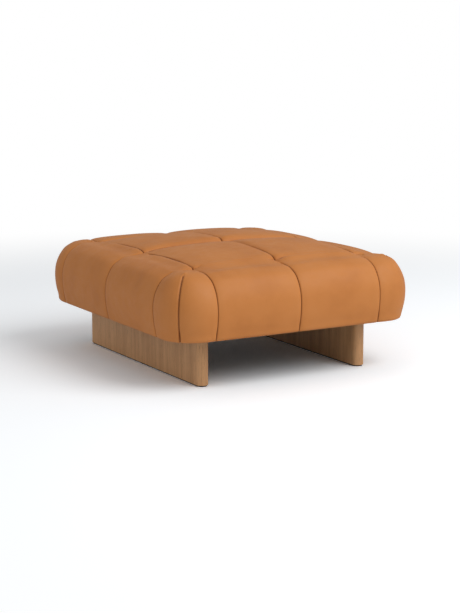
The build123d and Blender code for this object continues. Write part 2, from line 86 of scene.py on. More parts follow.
# Cushion skin: sixteen pads between seams that run from tuft to tuft and over the edge
tuftX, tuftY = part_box("top_panel_back_right")[1].x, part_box("top_panel_back_right")[1].y
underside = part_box("right_panel_back")[0].z
cushion = {
    "sideReach": 0.1470,          # from the outer tufts to the widest line of a seam
    "frontReach": 0.1595,
    "cornerRounding": {"front_left": 0.115, "front_right": 0.100, "back_left": 0.136, "back_right": 0.124},
    "cornerStand": {"front": 1.0, "back": 0.35},     # how much of the corner line a stitched corner takes
    "cornerTurn": 1.6,            # power by which a corner pad turns from the seam line to the corner line
    "tuftRise": {"centre": 0.222, "side": 0.211, "front": 0.207, "corner": 0.203},
    "seamLift": {"inner": 0.008, "side": 0.013, "middle": 0.020},
    "endLift": {"front_left": 0.016, "front_right": 0.018, "back_left": 0.005, "back_right": 0.005},
    "crown": 0.008,               # pads over their seams, before they are filled
    "shoulder": 0.012,            # pads round up from a seam, fast in the middle and slower near the edge
    "innerShoulder": 0.013,
    "farShoulder": 0.040,         # of the front pads, beside the seam across the middle
    "sideShoulder": 0.036,
    "endShoulder": 0.070,
    "lean": 1.8,                  # pads rise slowly at the far end and steeply at the one nearer the front
    "sideRim": 0.0115,            # an edge pad stands up beside the tuft line, but not over the edge
    "endRim": {"front_left": 0.003, "front_right": 0.017, "back_left": 0.0115, "back_right": 0.0115},
    "rimShoulder": 0.014,
    "rimReach": 0.048,
    # The back right corner has settled, from the first of each pair over the length of the second
    "sag": {"depth": 0.004, "x": (0.10, 0.27), "y": (0.05, 0.25), "height": (0.05, 0.15)},
    "archPower": 6.5,             # the higher the power, the steeper a pad rises out of its tufts
    "crownPower": 2.2,
    "edgeCrownPower": 3.0,
    "edgeRadius": 0.012,
    "flapLength": 0.034,
    "rows": 46,                   # mesh rows from a tuft line down to the edge
    "step": 0.0078,               # size of a mesh face elsewhere
    "seamRows": (0.0018, 0.0042, 0.0080, 0.0140),    # distances of the first mesh rows from a seam
    "joinWithin": 0.00001,        # pads are one skin where their points are this close
}
# How a seam goes over the edge: shares of its reach, and rises above the underside, the first one its tuft's
seamLine = ((0.0, 0.0), (0.26, 0.2055), (0.48, 0.2045), (0.63, 0.1965), (0.76, 0.1845), (0.86, 0.1668),
            (0.94, 0.144), (0.985, 0.120), (1.0, 0.095), (0.992, 0.066), (0.965, 0.038), (0.935, 0.016))
cornerLine = ((0.0, 0.0), (0.25, 0.2085), (0.47, 0.2105), (0.63, 0.206), (0.76, 0.194), (0.86, 0.172),
              (0.94, 0.146), (0.983, 0.122), (1.0, 0.095), (0.993, 0.064), (0.966, 0.038), (0.932, 0.016))
# How far the middle of a pad stands out from that line at the same points
padFullness = (0.0, 0.003, 0.006, 0.008, 0.009, 0.008, 0.006, 0.0045, 0.003, 0.002, 0.001, 0.0)
cornerFullness = (0.0, 0.001, 0.001, 0.001, 0.001, 0.001, 0.001, 0.001, 0.001, 0.0005, 0.0, 0.0)


def arch(share, power):
    # 0 at both tufts, 1 between them
    return 1 - np.abs(2 * share - 1) ** power


def gradedShares(length):
    # Shares of a seam's length, closer together beside the seams at its ends
    near = np.array((0.0,) + cushion["seamRows"]) / length
    middle = np.linspace(near[-1], 1 - near[-1], round(length / cushion["step"]))
    return np.concatenate([near[:-1], middle, 1 - near[-2::-1]])


def splineWeights(knots, places):
    # Rows of a natural cubic spline through any values at the knots
    count = len(knots)
    gaps = np.diff(knots)
    bend, slope = np.eye(count), np.zeros((count, count))
    for i in range(1, count - 1):
        bend[i, i - 1:i + 2] = gaps[i - 1], 2 * (gaps[i - 1] + gaps[i]), gaps[i]
        slope[i, i - 1:i + 2] = 6 / gaps[i - 1], -6 / gaps[i - 1] - 6 / gaps[i], 6 / gaps[i]
    curvature = np.linalg.solve(bend, slope)
    weights = np.zeros((len(places), count))
    for row, place in enumerate(places):
        i = min(max(np.searchsorted(knots, place) - 1, 0), count - 2)
        b = (place - knots[i]) / gaps[i]
        a = 1 - b
        weights[row, i] += a
        weights[row, i + 1] += b
        weights[row] += ((a ** 3 - a) * curvature[i] + (b ** 3 - b) * curvature[i + 1]) * gaps[i] ** 2 / 6
    return weights


def edgeLine(reach, tuftRise, line):
    # Knots from the tuft over the edge, down the side and round under the bottom edge
    knots = [(share * reach, rise) for share, rise in line]
    knots[0] = (0.0, tuftRise)
    radius = cushion["edgeRadius"]
    centre = knots[-1][0] - radius
    knots += [(centre + radius * math.cos(turn), radius - radius * math.sin(turn))
              for turn in np.radians((30, 60, 90))]
    return np.array(knots)


def edgeRows():
    # Distances along an edge line of its knots, and of the mesh rows
    line = edgeLine(cushion["sideReach"], cushion["tuftRise"]["side"], seamLine)
    lengths = np.concatenate([[0], np.cumsum(np.linalg.norm(np.diff(line, axis=0), axis=1))])
    near = np.array((0.0,) + cushion["seamRows"])
    rows = np.concatenate([near[:-1], np.linspace(near[-1], lengths[-1], cushion["rows"])])
    return lengths, rows


knotPlaces, rowPlaces = edgeRows()
rowWeights = splineWeights(knotPlaces, rowPlaces)


def fullnessAt(values):
    # The fullness at the knots, none round the bottom edge
    return np.array(tuple(values) + (0.0,) * (len(knotPlaces) - len(values)))


def outwardNormals(line):
    along = np.gradient(line, axis=0)
    normals = np.stack([-along[:, 1], along[:, 0]], axis=1)
    return normals / np.linalg.norm(normals, axis=1)[:, None]


def shoulderRise(distance, reach):
    return 1 - np.exp(-distance / reach)


def leaned(share, isFront):
    # Shares counted out from the middle, so bent that a pad rises steeply at its end nearer the front
    return share ** cushion["lean"] if isFront else 1 - (1 - share) ** cushion["lean"]


def rimShape(distance):
    return shoulderRise(distance, cushion["rimShoulder"]) * np.exp(-(distance / cushion["rimReach"]) ** 2)


def withFlap(line):
    # The leather goes on flat under the bottom edge
    flap = [(line[-1, 0] - cushion["flapLength"] * step, 0.0) for step in (0.25, 0.5, 0.75, 1.0)]
    return np.concatenate([line, flap])


def sidePad(reach, nearRise, farRise, lift, rim, length, isFront=None):
    # Points [column, row] of an edge pad: distance outwards, share along the tuft line, and rise
    columns = gradedShares(length)
    points = []
    for share in columns:
        seamShape = arch(share if isFront is None else leaned(share, isFront), cushion["archPower"])
        tuftRise = nearRise + (farRise - nearRise) * share
        line = edgeLine(reach, tuftRise, seamLine)
        fullness = fullnessAt(padFullness) * arch(share, cushion["edgeCrownPower"])
        swollen = line + outwardNormals(line) * fullness[:, None]
        swollen[0] = (0.0, tuftRise + lift * seamShape)
        skin = rowWeights @ swollen
        skin[:, 1] += rim * rimShape(rowPlaces) * seamShape
        points.append([(out, share, rise) for out, rise in withFlap(skin)])
    return np.array(points)


def outlineReach(angle, rounding):
    # From the corner tuft out to the widest line, which turns the corner in an arc
    sideReach, frontReach = cushion["sideReach"], cushion["frontReach"]
    cosine, sine = max(math.cos(angle), 1e-9), max(math.sin(angle), 1e-9)
    straight = min(sideReach / cosine, frontReach / sine)
    x, y = straight * cosine, straight * sine
    centreX, centreY = sideReach - rounding, frontReach - rounding
    if x <= centreX or y <= centreY:
        return straight
    middle = centreX * cosine + centreY * sine
    return middle + math.sqrt(middle ** 2 - centreX ** 2 - centreY ** 2 + rounding ** 2)


cornerAngle = math.pi / 4


def cornerHalf(startAngle, length, rounding, stand):
    # From a seam round to the stitched corner, as distances from the corner tuft in x, y and rise
    shares = gradedShares(length)
    tuftRise = cushion["tuftRise"]["corner"]
    points = []
    for share in shares:
        angle = startAngle + (cornerAngle - startAngle) * share
        reach = outlineReach(angle, rounding)
        turning = stand * share ** cushion["cornerTurn"]
        line = edgeLine(reach, tuftRise, seamLine) * (1 - turning) \
            + edgeLine(reach, tuftRise, cornerLine) * turning
        swollen = line + outwardNormals(line) * fullnessAt(cornerFullness)[:, None] \
            * arch(share, cushion["crownPower"])
        swollen[0] = (0.0, tuftRise)
        skin = withFlap(rowWeights @ swollen)
        points.append([(out * math.cos(angle), out * math.sin(angle), rise) for out, rise in skin])
    return np.array(points)


def topPad(endLift, isFront):
    # Points [column along x, row along y] of a pad in the middle
    columns, rows = gradedShares(tuftX), gradedShares(tuftY)
    a, b = np.meshgrid(columns, rows, indexing="ij")
    rise, lift = cushion["tuftRise"], cushion["seamLift"]
    tufts = (rise["centre"] * (1 - a) + rise["side"] * a) * (1 - b) \
        + (rise["front"] * (1 - a) + rise["corner"] * a) * b
    archA, archB = arch(a, cushion["archPower"]), arch(leaned(b, isFront), cushion["archPower"])
    liftA = lift["inner"] * (1 - b) + endLift * b
    liftB = lift["middle"] * (1 - a) + lift["side"] * a
    shoulder = 1.0
    middleShoulder = cushion["farShoulder"] if isFront else cushion["innerShoulder"]
    for share, length, inner, outer in ((a, tuftX, cushion["innerShoulder"], cushion["sideShoulder"]),
                                        (b, tuftY, middleShoulder, cushion["endShoulder"])):
        shoulder = shoulder * shoulderRise(share * length, inner) \
            * shoulderRise((1 - share) * length, outer)
    height = tufts + liftA * archA + liftB * archB - (liftA + liftB) / 2 * archA * archB \
        + cushion["crown"] * arch(a, cushion["crownPower"]) * arch(b, cushion["crownPower"]) \
        + cushion["shoulder"] * shoulder
    return np.stack([a * tuftX, b * tuftY, height], axis=2)


def quarterPatches(quarter):
    # Patches of one quarter, drawn as the back right one, each a grid of points with its kind
    rise, endLift = cushion["tuftRise"], cushion["endLift"][quarter]
    rounding = cushion["cornerRounding"][quarter]
    isFront = quarter.startswith("front")
    side = sidePad(cushion["sideReach"], rise["side"], rise["corner"], cushion["seamLift"]["side"],
                   cushion["sideRim"], tuftY, isFront)
    side = np.stack([tuftX + side[..., 0], side[..., 1] * tuftY, side[..., 2]], axis=2)[::-1]
    back = sidePad(cushion["frontReach"], rise["front"], rise["corner"], endLift,
                   cushion["endRim"][quarter], tuftX)
    back = np.stack([back[..., 1] * tuftX, tuftY + back[..., 0], back[..., 2]], axis=2)
    stand = cushion["cornerStand"]["front" if isFront else "back"]
    corners = [cornerHalf(0.0, cushion["frontReach"], rounding, stand)[::-1],
               cornerHalf(math.pi / 2, cushion["sideReach"], rounding, stand)]
    corners = [half + np.array((tuftX, tuftY, 0.0)) for half in corners]
    return [("top", topPad(endLift, isFront)), ("side", side), ("back", back),
            ("corner", corners[0]), ("corner", corners[1])]


panelNames = {"top": "top_panel_{depth}_{side}", "side": "{side}_panel_{depth}",
              "back": "{depth}_panel_{side}", "corner": "corner_panel_{depth}_{side}"}


def smoothShare(values, start, length):
    share = np.clip((values - start) / length, 0, 1)
    return share * share * (3 - 2 * share)


def settled(points):
    sag = cushion["sag"]
    drop = sag["depth"] * smoothShare(points[..., 0], *sag["x"]) * smoothShare(points[..., 1], *sag["y"]) \
        * smoothShare(points[..., 2], *sag["height"])
    return points - drop[..., None] * np.array((0, 0, 1.0))


def allPatches():
    # All four quarters, as points, the name of the panel and whether the faces are turned over
    patches = []
    for signX, side in ((1, "right"), (-1, "left")):
        for signY, depth in ((1, "back"), (-1, "front")):
            for kind, points in quarterPatches(depth + "_" + side):
                placed = settled(points * np.array((signX, signY, 1.0))) + np.array((0, 0, underside))
                patches.append((placed, panelNames[kind].format(side=side, depth=depth), signX * signY < 0))
    return patches


def runLengths(points, axis):
    # Distance along a grid from its first line
    steps = np.linalg.norm(np.diff(points, axis=axis), axis=2)
    start = np.zeros_like(np.take(steps, [0], axis=axis))
    return np.concatenate([start, np.cumsum(steps, axis=axis)], axis=axis)


def seamMeasures(points, name):
    # For each point: distance to the nearest seam, and place along it
    across, down = runLengths(points, 0), runLengths(points, 1)
    fromEnds = np.minimum(across, across[-1:] - across)
    distance = fromEnds
    along = down.copy()
    if not name.startswith("corner"):
        nearTuftLine = down < distance
        distance = np.where(nearTuftLine, down, distance)
        along = np.where(nearTuftLine, fromEnds, along)
    if name.startswith("top"):
        farLine = down[:, -1:] - down
        nearFarLine = farLine < distance
        distance = np.where(nearFarLine, farLine, distance)
        along = np.where(nearFarLine, fromEnds, np.where(nearTuftLine, along, np.minimum(down, farLine)))
    return distance, along


def buildSkin():
    # One mesh of all the pads, joined at the seams
    vertices, faces, panels, distances, alongs = [], [], [], [], []
    names, start = [], 0
    for points, name, turned in allPatches():
        if name not in names:
            names.append(name)
        columns, rows = points.shape[:2]
        distance, along = seamMeasures(points, name)
        vertices.append(points.reshape(-1, 3))
        distances.append(distance.ravel())
        alongs.append(along.ravel())
        index = np.arange(columns * rows).reshape(columns, rows)
        corners = np.stack([index[:-1, :-1], index[1:, :-1], index[1:, 1:], index[:-1, 1:]], axis=2)
        corners = corners.reshape(-1, 4)
        if turned:
            corners = corners[:, ::-1]
        faces.append(corners + start)
        panels += [names.index(name)] * len(corners)
        start += columns * rows
    mesh = bpy.data.meshes.new("cushionSkin")
    mesh.from_pydata(np.concatenate(vertices).tolist(), [], np.concatenate(faces).tolist())
    addValues(mesh, "seamDistance", np.concatenate(distances))
    addValues(mesh, "seamPlace", np.concatenate(alongs))
    mesh.attributes.new("panel", "INT", "FACE").data.foreach_set("value", np.array(panels, np.int32))
    skin = bpy.data.objects.new("cushionSkin", mesh)
    bpy.context.scene.collection.objects.link(skin)
    bpy.context.view_layer.objects.active = skin
    skin.select_set(True)
    bpy.ops.object.mode_set(mode="EDIT")
    bpy.ops.mesh.select_all(action="SELECT")
    bpy.ops.mesh.remove_doubles(threshold=cushion["joinWithin"])
    bpy.ops.mesh.select_all(action="DESELECT")
    bpy.ops.object.mode_set(mode="OBJECT")
    return skin, names


def addValues(mesh, name, values):
    mesh.attributes.new(name, "FLOAT", "POINT").data.foreach_set("value", values.astype(np.float32))


def readValues(mesh, name):
    values = np.zeros(len(mesh.vertices), np.float32)
    mesh.attributes[name].data.foreach_get("value", values)
    return values


def readPoints(mesh):
    points = np.zeros(len(mesh.vertices) * 3)
    mesh.vertices.foreach_get("co", points)
    return points.reshape(-1, 3)


def readNormals(mesh):
    normals = np.zeros(len(mesh.vertices) * 3, np.float32)
    mesh.vertex_normals.foreach_get("vector", normals)
    return normals.reshape(-1, 3).astype(float)


def writePoints(mesh, points):
    mesh.vertices.foreach_set("co", points.reshape(-1))
    mesh.update()


skinFilling = {
    "pressure": 4.0,
    "frames": 20,
    "quality": 6,
    "weight": 0.4,
    "stretch": 25,
    "shear": 12,
    "bend": 20.0,
    "damping": 15,
    "mostMove": 0.0040,           # cap on how far the leather may swell
    "shrink": 0.004,              # leather cut a little tight, so that it stays smooth
    "sewnWidth": 0.0005,
}


def fillCushion(skin):
    # Cloth under pressure, sewn down at its seams and stapled under its edge
    mesh = skin.data
    start = readPoints(mesh)
    held = skin.vertex_groups.new(name="sewn")
    nearSeam = readValues(mesh, "seamDistance") < skinFilling["sewnWidth"]
    low = start[:, 2] < underside + cushion["edgeRadius"] * 0.5
    for index in np.nonzero(nearSeam | low)[0]:
        held.add([int(index)], 1.0, "REPLACE")
    cloth = skin.modifiers.new("filling", "CLOTH")
    settings = cloth.settings
    settings.quality = skinFilling["quality"]
    settings.mass = skinFilling["weight"]
    settings.tension_stiffness = settings.compression_stiffness = skinFilling["stretch"]
    settings.shear_stiffness = skinFilling["shear"]
    settings.bending_stiffness = skinFilling["bend"]
    settings.tension_damping = settings.compression_damping = settings.shear_damping = skinFilling["damping"]
    settings.vertex_group_mass = "sewn"
    settings.use_pressure = True
    settings.uniform_pressure_force = skinFilling["pressure"]
    settings.shrink_min = skinFilling["shrink"]
    settings.effector_weights.gravity = 0
    cloth.collision_settings.use_collision = False
    cloth.point_cache.frame_end = skinFilling["frames"]
    for number in range(1, skinFilling["frames"] + 1):
        bpy.context.scene.frame_set(number)
    bpy.ops.object.modifier_apply(modifier="filling")
    bpy.context.scene.frame_set(1)
    skin.vertex_groups.clear()
    move = readPoints(mesh) - start
    length = np.linalg.norm(move, axis=1)[:, None] + 1e-9
    print("leather swells by up to", round(float(length.max()) * 1000, 1), "mm, mean",
          round(float(length.mean()) * 1000, 1))
    capped = skinFilling["mostMove"] * np.tanh(length / skinFilling["mostMove"])
    writePoints(mesh, start + move / length * capped)


seamFinish = {
    "depth": 0.0034,
    "width": 0.0020,
    "sharpness": 1.5,
    "pinch": 0.0022,              # the leather is drawn in beside a seam
    "pinchReach": 0.011,
    "band": 0.012,                # points this close to a seam's line belong to it
    "tuftLine": 0.003,            # a seam over the edge starts this far outside the outer tufts
    # Pads cover a seam in front of a tuft, or beside one, this far out, and it appears over the second length
    "frontCover": (0.020, 0.030),
    "sideCover": (0.060, 0.040),
    "flatEnds": (0.005, 0.03),    # the seam behind the front left pad is pulled flat between its ends
    "flatShare": 0.9,
    "coverShade": 0.004,          # counts as this much further from the seam where the seam is covered, so that its painted shade fades
    "flapHeight": (0.004, 0.010),    # below these heights the groove is shallow, and nothing is covered
    "flapShare": 0.25,
}
cornerSeam = {
    "start": 0.098,               # the stitched corner starts this far out from its tuft
    "fadeIn": 0.02,
    "margin": 0.02,
    "topHeight": 0.15,            # above this it still lies on top of the cushion
    "widening": 1.5,              # its fold against those of the other seams
    "peakHeight": 0.0022,
    "backPeak": 0.2,              # share of that height on the back corners
    "peakReach": (0.010, 0.006),  # along the seam and across it
    "lipHeight": 0.0010,
    "lipPlace": 0.006,
    "lipWidth": 0.003,
}
leatherFolds = {
    "gatherHeight": 0.0005,       # small gathers along the seams
    "gatherLength": 0.021,
    "gatherReach": 0.030,
    "gatherStart": 0.004,
    "gatherDrift": 3,
    "tuftFold": 0.0012,           # folds round the tufts
    "foldSize": 0.016,
    "foldLength": 0.05,
    "foldStart": 0.006,
    "tuftReach": 0.055,
    "unevenness": 0.0008,         # the stuffing under the leather
    "unevenScale": 9,
    "unevenStart": 0.03,
}


def noiseAt(x, y, z):
    return np.array([noise.noise(Vector(place)) for place in zip(x, y, z)])


def bell(values, reach):
    return np.exp(-(values / reach) ** 2)


def cornerPlaces(points):
    # Distance out from a corner's tuft, and which points lie beside its stitched seam
    fromCorner = np.abs(points[:, :2]) - np.array((tuftX, tuftY))
    inCorner = (fromCorner > cornerSeam["margin"]).all(axis=1)
    angle = np.arctan2(fromCorner[:, 1], fromCorner[:, 0])
    return np.linalg.norm(fromCorner, axis=1), inCorner & (np.abs(angle - cornerAngle) < cornerAngle / 2)


def seamStrength(points, fromTuft, onCornerSeam, cornerShare):
    # How much of its groove a seam shows: less where the pads beside it cover it
    finish, down = seamFinish, points[:, 2] - underside
    strength = np.where(onCornerSeam, cornerShare, 1.0)
    strength = np.where(down < finish["flapHeight"][0], finish["flapShare"], strength)
    outX = np.abs(points[:, 0]) - tuftX
    onTuftRow = np.min(np.abs(fromTuft[..., 1]), axis=1) < finish["band"]
    runsOut = (outX > finish["tuftLine"]) & onTuftRow & ~onCornerSeam
    strength = np.where(runsOut, strength * smoothShare(outX, *finish["sideCover"]), strength)
    ahead = np.where(np.abs(fromTuft[..., 0]) < finish["band"], -fromTuft[..., 1], -1)
    ahead = np.min(np.where(ahead > 0, ahead, 1), axis=1)
    startsHere = outX <= finish["band"]
    strength = np.where(startsHere, strength * smoothShare(ahead, *finish["frontCover"]), strength)
    flat = smoothShare(points[:, 0] + tuftX, *finish["flatEnds"]) \
        * smoothShare(-points[:, 0], *finish["flatEnds"]) * (np.abs(points[:, 1] + tuftY) < finish["band"])
    return strength * (1 - finish["flatShare"] * flat)


def cornerRelief(points, out, distance, cornerShare):
    # The stitched corner stands up where it starts, and has a lip on each side
    height = cornerSeam["peakHeight"] * np.where(points[:, 1] < 0, 1.0, cornerSeam["backPeak"])
    along, across = cornerSeam["peakReach"]
    peak = bell(out - cornerSeam["start"], along) * bell(distance, across)
    peak = peak * (points[:, 2] - underside > cornerSeam["topHeight"])
    lip = bell(distance - cornerSeam["lipPlace"], cornerSeam["lipWidth"]) * cornerShare
    return height * peak + cornerSeam["lipHeight"] * lip


def leatherRelief(points, place, distance, tuftDistance, strength):
    folds = leatherFolds
    x, y, z = points.T
    gather = noiseAt(place / folds["gatherLength"], x * folds["gatherDrift"], y * folds["gatherDrift"])
    gather = folds["gatherHeight"] * gather * np.exp(-distance / folds["gatherReach"]) \
        * shoulderRise(distance, folds["gatherStart"]) * strength
    fold = noiseAt(x / folds["foldSize"], y / folds["foldSize"], z / folds["foldLength"])
    fold = folds["tuftFold"] * fold * bell(tuftDistance, folds["tuftReach"]) \
        * shoulderRise(distance, folds["foldStart"])
    uneven = noiseAt(*(points.T * folds["unevenScale"]))
    uneven = folds["unevenness"] * uneven * shoulderRise(distance, folds["unevenStart"]) \
        * np.clip((z - underside) / folds["unevenStart"], 0, 1)
    return gather + fold + uneven


def finishSeams(skin):
    # Finer mesh, then the seam grooves, small gathers along them and folds round the tufts
    divide = skin.modifiers.new("divide", "SUBSURF")
    divide.levels = divide.render_levels = 1
    divide.boundary_smooth = "PRESERVE_CORNERS"
    bpy.context.view_layer.objects.active = skin
    bpy.ops.object.modifier_apply(modifier="divide")
    mesh = skin.data
    points, normals = readPoints(mesh), readNormals(mesh)
    distance, place = readValues(mesh, "seamDistance"), readValues(mesh, "seamPlace")
    tufts = np.array([(x * tuftX, y * tuftY) for x in (-1, 0, 1) for y in (-1, 0, 1)])
    fromTuft = points[:, None, :2] - tufts[None]
    tuftDistance = np.min(np.linalg.norm(fromTuft, axis=2), axis=1)
    out, onCornerSeam = cornerPlaces(points)
    down = points[:, 2] - underside
    cornerShare = np.clip((out - cornerSeam["start"]) / cornerSeam["fadeIn"], 0, 1)
    cornerShare = np.where(down < cornerSeam["topHeight"], 1.0, cornerShare)
    strength = seamStrength(points, fromTuft, onCornerSeam, cornerShare)
    widening = np.where(onCornerSeam, cornerSeam["widening"], 1.0)
    width = seamFinish["width"] * widening
    groove = seamFinish["depth"] * widening * np.exp(-(distance / width) ** seamFinish["sharpness"]) \
        + seamFinish["pinch"] * bell(distance, seamFinish["pinchReach"])
    corner = np.where(onCornerSeam, cornerRelief(points, out, distance, cornerShare), 0)
    relief = corner - strength * groove + leatherRelief(points, place, distance, tuftDistance, strength)
    writePoints(mesh, points + normals * relief[:, None])
    # The seam distance is written back for the painted seam shade, wider on the stitched corner and faded
    # where a seam is covered; the pads' thickness is read from it too
    covered = (1 - np.clip(strength, 0, 1)) * (down > seamFinish["flapHeight"][1])
    shown = distance / widening + seamFinish["coverShade"] * covered
    mesh.attributes["seamDistance"].data.foreach_set("value", shown.astype(np.float32))


padForm = {
    "middleThickness": 0.016,
    "seamThickness": 0.0035,
    "taper": 0.030,
    "lowTaper": 0.03,             # it thins out over this height above the underside
    "flapHeight": 0.006,          # below this it is one layer of leather
    "flapThickness": 0.0018,
}


def cutPads(skin, names):
    # Each panel becomes a stuffed form, thick in the middle and thin at its seams
    mesh = skin.data
    points, normals = readPoints(mesh), readNormals(mesh)
    distance = readValues(mesh, "seamDistance")
    down = points[:, 2] - underside
    low = np.clip(down / padForm["lowTaper"], 0, 1)
    share = np.minimum(1 - np.exp(-distance / padForm["taper"]), low)
    thickness = padForm["seamThickness"] + (padForm["middleThickness"] - padForm["seamThickness"]) * share
    thickness = np.where(down < padForm["flapHeight"], padForm["flapThickness"], thickness)
    inner = points - normals * thickness[:, None]
    panel = np.zeros(len(mesh.polygons), np.int32)
    mesh.attributes["panel"].data.foreach_get("value", panel)
    corners = np.zeros(len(mesh.loops), np.int32)
    mesh.loops.foreach_get("vertex_index", corners)
    corners = corners.reshape(-1, 4)
    pads = []
    for number, name in enumerate(names):
        used, local = np.unique(corners[panel == number], return_inverse=True)
        local = local.reshape(-1, 4)
        count = len(used)
        edges = np.stack([local, np.roll(local, -1, axis=1)], axis=2).reshape(-1, 2)
        keys = np.sort(edges, axis=1)
        found, first, counts = np.unique(keys, axis=0, return_index=True, return_counts=True)
        rim = first[(counts == 1) & (found[:, 0] != found[:, 1])]
        rimFaces = np.stack([edges[rim, 1], edges[rim, 0], edges[rim, 0] + count, edges[rim, 1] + count],
                            axis=1)
        allFaces = np.concatenate([local, local[:, ::-1] + count, rimFaces])
        padMesh = bpy.data.meshes.new(name + "_pad")
        padMesh.from_pydata(np.concatenate([points[used], inner[used]]).tolist(), [], allFaces.tolist())
        addValues(padMesh, "seamDistance", np.tile(distance[used], 2))
        padMesh.polygons.foreach_set("use_smooth", np.ones(len(padMesh.polygons), bool))
        pad = bpy.data.objects.new(name + "_pad", padMesh)
        bpy.context.scene.collection.objects.link(pad)
        pads.append((pad, name))
    bpy.data.objects.remove(skin)
    return pads


cushionSkin, panelOrder = buildSkin()
print("leather skin drawn,", len(cushionSkin.data.vertices), "points")
fillCushion(cushionSkin)
finishSeams(cushionSkin)
cushionPads = cutPads(cushionSkin, panelOrder)
print("seams sewn,", len(cushionPads), "pads")


# Small helpers for node materials
def newMaterial(name):
    # With its node tree, its shader and the piece's own coordinates
    material = bpy.data.materials.new(name)
    material.use_nodes = True
    tree = material.node_tree
    place = addNode(tree, "ShaderNodeTexCoord").outputs["Object"]
    return material, tree, tree.nodes["Principled BSDF"], place


def setInput(tree, socket, value):
    if isinstance(value, bpy.types.NodeSocket):
        tree.links.new(value, socket)
    else:
        socket.default_value = value


def addNode(tree, kind, inputs=None, **settings):
    node = tree.nodes.new(kind)
    for key, value in settings.items():
        setattr(node, key, value)
    for key, value in (inputs or {}).items():
        setInput(tree, node.inputs[key], value)
    return node


def colorRamp(tree, factor, stops):
    node = addNode(tree, "ShaderNodeValToRGB", {"Fac": factor})
    ramp = node.color_ramp
    while len(ramp.elements) < len(stops):
        ramp.elements.new(0.5)
    for element, (place, color) in zip(ramp.elements, stops):
        element.position = place
        element.color = (*color, 1)
    return node.outputs["Color"]


def twoTones(tree, factor, ends, dark, pale):
    return colorRamp(tree, factor, ((ends[0], dark), (ends[1], pale)))


def mixColor(tree, factor, first, second):
    node = addNode(tree, "ShaderNodeMix", data_type="RGBA")
    for index, value in ((0, factor), (6, first), (7, second)):
        setInput(tree, node.inputs[index], (*value, 1) if isinstance(value, tuple) else value)
    return node.outputs[2]


def maths(tree, operation, first, second=0.0, clamp=False):
    node = addNode(tree, "ShaderNodeMath", {0: first, 1: second}, operation=operation, use_clamp=clamp)
    return node.outputs[0]


def mapped(tree, value, low, high, start=0.0, end=1.0, curve="LINEAR"):
    ends = {"Value": value, "From Min": start, "From Max": end, "To Min": low, "To Max": high}
    return addNode(tree, "ShaderNodeMapRange", ends, interpolation_type=curve).outputs[0]


def scaled(tree, source, scale):
    return addNode(tree, "ShaderNodeMapping", {"Vector": source, "Scale": scale}).outputs[0]


def noiseValue(tree, vector, scale, detail=3.0, roughness=0.5, distortion=0.0):
    values = {"Vector": vector, "Scale": scale, "Detail": detail, "Roughness": roughness,
              "Distortion": distortion}
    return addNode(tree, "ShaderNodeTexNoise", values).outputs["Fac"]


def grainNoise(tree, place, stretch, detail, roughness=0.5, distortion=0.0):
    # Noise at its own scale along x, y and z, drawn out along the grain
    return noiseValue(tree, scaled(tree, place, stretch), 1.0, detail, roughness, distortion)


def cellDistance(tree, vector, scale, randomness=1.0, **settings):
    values = {"Vector": vector, "Scale": scale, "Randomness": randomness}
    return addNode(tree, "ShaderNodeTexVoronoi", values, **settings).outputs["Distance"]


def setSurface(tree, shader, color, roughness, height, bumpSize):
    # Colour, roughness and bump together
    strength, depth = bumpSize
    setInput(tree, shader.inputs["Base Color"], color)
    setInput(tree, shader.inputs["Roughness"], roughness)
    bump = addNode(tree, "ShaderNodeBump", {"Height": height, "Strength": strength, "Distance": depth})
    setInput(tree, shader.inputs["Normal"], bump.outputs[0])


leatherFinish = {
    "color": (0.56, 0.205, 0.050),
    "deepColor": (0.46, 0.155, 0.034),
    "paleColor": (0.60, 0.235, 0.068),
    # colour of the painted shade in the fold of a seam
    "seamShadeColor": (0.16, 0.045, 0.012),
    "clouds": (7.0, 4.0, 0.55),   # noise scale, detail and roughness
    "mottle": (38.0, 3.0, 0.6),
    "creases": (160.0, 4.0, 0.6),
    "cloudStops": (0.3, 0.5, 0.72),
    "cloudShare": 0.55,
    "mottleShare": 0.25,
    "seamShade": (0.74, 0.0004, 0.0026),     # painted shade in the fold of a seam: how dark it is, and where that starts to fade and ends
    "grainSize": 0.0016,
    "grainDepth": 0.25,
    "grainShare": 2.0,
    "creaseShare": 0.8,
    "mottleEnds": (0.3, 0.7),
    "roughness": (0.50, 0.64),
    "specular": 0.28,
    "bump": (0.35, 0.0003),       # strength and depth
}


def makeLeather():
    material, tree, shader, place = newMaterial("cognacLeather")
    finish = leatherFinish
    seam = addNode(tree, "ShaderNodeAttribute", attribute_name="seamDistance").outputs["Fac"]
    clouds = noiseValue(tree, place, *finish["clouds"])
    mottle = noiseValue(tree, place, *finish["mottle"])
    stops = zip(finish["cloudStops"], (finish["deepColor"], finish["color"], finish["paleColor"]))
    color = mixColor(tree, finish["cloudShare"], finish["color"], colorRamp(tree, clouds, tuple(stops)))
    color = mixColor(tree, maths(tree, "MULTIPLY", mottle, finish["mottleShare"]), color, finish["paleColor"])
    # Painted shade: darker in the fold of a seam, where shade falls
    shade, start, end = finish["seamShade"]
    seamShadeMask = mapped(tree, seam, shade, 0.0, start, end, "SMOOTHSTEP")
    color = mixColor(tree, seamShadeMask, color, finish["seamShadeColor"])
    grain = cellDistance(tree, place, 1 / finish["grainSize"], feature="DISTANCE_TO_EDGE")
    grain = maths(tree, "MULTIPLY", maths(tree, "MINIMUM", grain, finish["grainDepth"]), finish["grainShare"])
    creases = maths(tree, "MULTIPLY", noiseValue(tree, place, *finish["creases"]), finish["creaseShare"])
    rough = mapped(tree, mottle, *finish["roughness"], *finish["mottleEnds"])
    setSurface(tree, shader, color, rough, maths(tree, "ADD", grain, creases), finish["bump"])
    shader.inputs["Specular IOR Level"].default_value = finish["specular"]
    return material


leather = makeLeather()


def placePads(pads, material):
    for pad, name in pads:
        pad.data.materials.append(material)
        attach(pad, "root")
        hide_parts(name, name.replace("_panel", "_wadding"))


placePads(cushionPads, leather)
print("pads placed")


